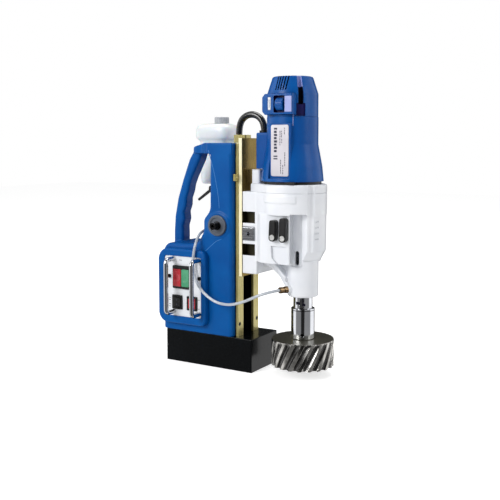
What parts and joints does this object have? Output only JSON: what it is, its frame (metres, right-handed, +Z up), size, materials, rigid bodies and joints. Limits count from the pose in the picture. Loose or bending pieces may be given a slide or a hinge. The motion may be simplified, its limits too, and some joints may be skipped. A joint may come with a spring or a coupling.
{
  "type": "magnetic drill press",
  "caption": "Portable drill press on an electromagnet foot: a motor, gearbox and annular cutter slide up and down a stand with a carry handle, switches and a coolant tank.",
  "frame": {"origin": "centre of the magnet foot's underside", "axes": "+X from the stand towards the drilling head, -Y the side with the switches, +Z up along the spindle"},
  "size_m": [0.398, 0.213, 0.615],
  "materials": {
    "blue_paint": "satin",
    "foot_black": "gloss",
    "copper": "satin",
    "resin": "matt",
    "blue_plastic": "satin",
    "panel": "satin",
    "black_plastic": "satin",
    "red_plastic": "gloss",
    "green_plastic": "gloss",
    "chrome": "polished",
    "board": "satin",
    "black_steel": "satin",
    "gold": "polished",
    "gold_slide": "polished",
    "steel": "brushed",
    "dark_steel": "satin",
    "white_plastic": "satin",
    "grey_plastic": "satin",
    "cast": "satin",
    "brass": "satin",
    "rubber": "satin",
    "clear_hose": "gloss",
    "plate": "satin",
    "lamination": "satin"
  },
  "bodies": {
    "stand": {"magnet_base": "foot_black", "magnet_coil": "copper", "magnet_resin": "resin", "stand_housing": "blue_paint", "stand_column": "blue_paint", "stand_deck": "blue_paint", "carry_handle": "blue_paint", "control_box": "blue_paint", "control_panel": "panel", "guard_bars": "chrome", "switch_bodies": "black_plastic", "control_board": "board", "guide_channel": "black_steel", "guide_rails": "gold", "small_screws": "dark_steel", "end_stop": "gold", "feed_covers": "steel", "feed_bushes": "brass", "coolant_tank": "white_plastic", "tank_bracket": "black_steel", "tank_tap": "black_plastic", "cord_inlet": "black_plastic", "coolant_hose": "clear_hose"},
    "head": {"slide": "gold_slide", "rack": "steel", "gearbox_housing": "cast", "gearbox_cover": "cast", "clamp_block": "steel", "spacer_ring": "black_plastic", "motor_case": "blue_plastic", "motor_cap": "blue_plastic", "dial_module": "blue_plastic", "junction_box": "blue_plastic", "nameplate": "plate", "stator": "lamination", "bearings": "steel", "brush_holders": "black_plastic", "knob_pivots": "steel", "hose_fitting": "brass", "conduit_glands": "black_plastic", "motor_conduit": "rubber"},
    "feed": {"feed_shaft": "dark_steel", "feed_pinion": "steel"},
    "spindle": {"spindle": "steel", "arbor": "steel", "arbor_screw": "dark_steel", "annular_cutter": "steel", "pilot_pin": "steel"},
    "layshaft": {"layshaft": "steel"},
    "armature": {"armature": "lamination", "motor_fan": "black_plastic"},
    "stop_button": {"stop_button": "red_plastic"},
    "start_button": {"start_button": "green_plastic"},
    "direction_rocker": {"direction_rocker": "black_plastic"},
    "magnet_rocker": {"magnet_rocker": "red_plastic"},
    "tank_cap": {"tank_cap": "grey_plastic"},
    "tap_lever": {"tap_lever": "black_plastic"},
    "gear_knob_left": {"gear_knob_left": "black_plastic"},
    "gear_knob_right": {"gear_knob_right": "black_plastic"},
    "speed_dial": {"speed_dial": "blue_plastic"}
  },
  "joints": [
    {"name": "head_slide", "type": "slide", "parent": "stand", "child": "head", "axis": [0, 0, 1], "range_m": [-0.128, 0.1], "deforming": ["coolant_hose"]},
    {"name": "feed_turn", "type": "hinge", "parent": "stand", "child": "feed", "pos_m": [0.0287, 0, 0.307], "axis": [0, -1, 0], "range_deg": [-460, 360]},
    {"name": "armature_spin", "type": "hinge", "parent": "head", "child": "armature", "pos_m": [0.176, 0, 0.46], "axis": [0, 0, 1], "continuous": true},
    {"name": "spindle_spin", "type": "hinge", "parent": "head", "child": "spindle", "pos_m": [0.202, 0, 0.1], "axis": [0, 0, 1], "continuous": true},
    {"name": "layshaft_spin", "type": "hinge", "parent": "head", "child": "layshaft", "pos_m": [0.15, 0, 0.35], "axis": [0, 0, 1], "continuous": true},
    {"name": "stop_press", "type": "slide", "parent": "stand", "child": "stop_button", "axis": [0, 1, 0], "range_m": [0, 0.0025], "stiffness_N_per_m": 1200},
    {"name": "start_press", "type": "slide", "parent": "stand", "child": "start_button", "axis": [0, 1, 0], "range_m": [0, 0.0025], "stiffness_N_per_m": 1200},
    {"name": "direction_rock", "type": "hinge", "parent": "stand", "child": "direction_rocker", "pos_m": [-0.0703, -0.065, 0.1353], "axis": [1, 0, 0], "range_deg": [-9, 9]},
    {"name": "magnet_rock", "type": "hinge", "parent": "stand", "child": "magnet_rocker", "pos_m": [-0.0312, -0.065, 0.1353], "axis": [1, 0, 0], "range_deg": [-9, 9]},
    {"name": "tank_cap_turn", "type": "hinge", "parent": "stand", "child": "tank_cap", "pos_m": [-0.0485, 0.078, 0.532], "axis": [0, 0, 1], "range_deg": [0, 540]},
    {"name": "tap_turn", "type": "hinge", "parent": "stand", "child": "tap_lever", "pos_m": [-0.076, 0.078, 0.376], "axis": [-1, 0, 0], "range_deg": [0, 90]},
    {"name": "gear_left_turn", "type": "hinge", "parent": "head", "child": "gear_knob_left", "pos_m": [0.1668, -0.065, 0.291], "axis": [0, -1, 0], "range_deg": [0, 25]},
    {"name": "gear_right_turn", "type": "hinge", "parent": "head", "child": "gear_knob_right", "pos_m": [0.19, -0.065, 0.29], "axis": [0, -1, 0], "range_deg": [-25, 0]},
    {"name": "speed_dial_turn", "type": "hinge", "parent": "head", "child": "speed_dial", "pos_m": [0.1775, -0.0532, 0.558], "axis": [1, 0, 0], "range_deg": [-135, 135]}
  ],
  "couplings": [
    {"joint": "feed_turn", "follows": "head_slide", "rad_per_m": 62.5},
    {"joint": "layshaft_spin", "follows": "spindle_spin", "ratio": -2.7143},
    {"joint": "armature_spin", "follows": "spindle_spin", "ratio": 7.8413}
  ]
}
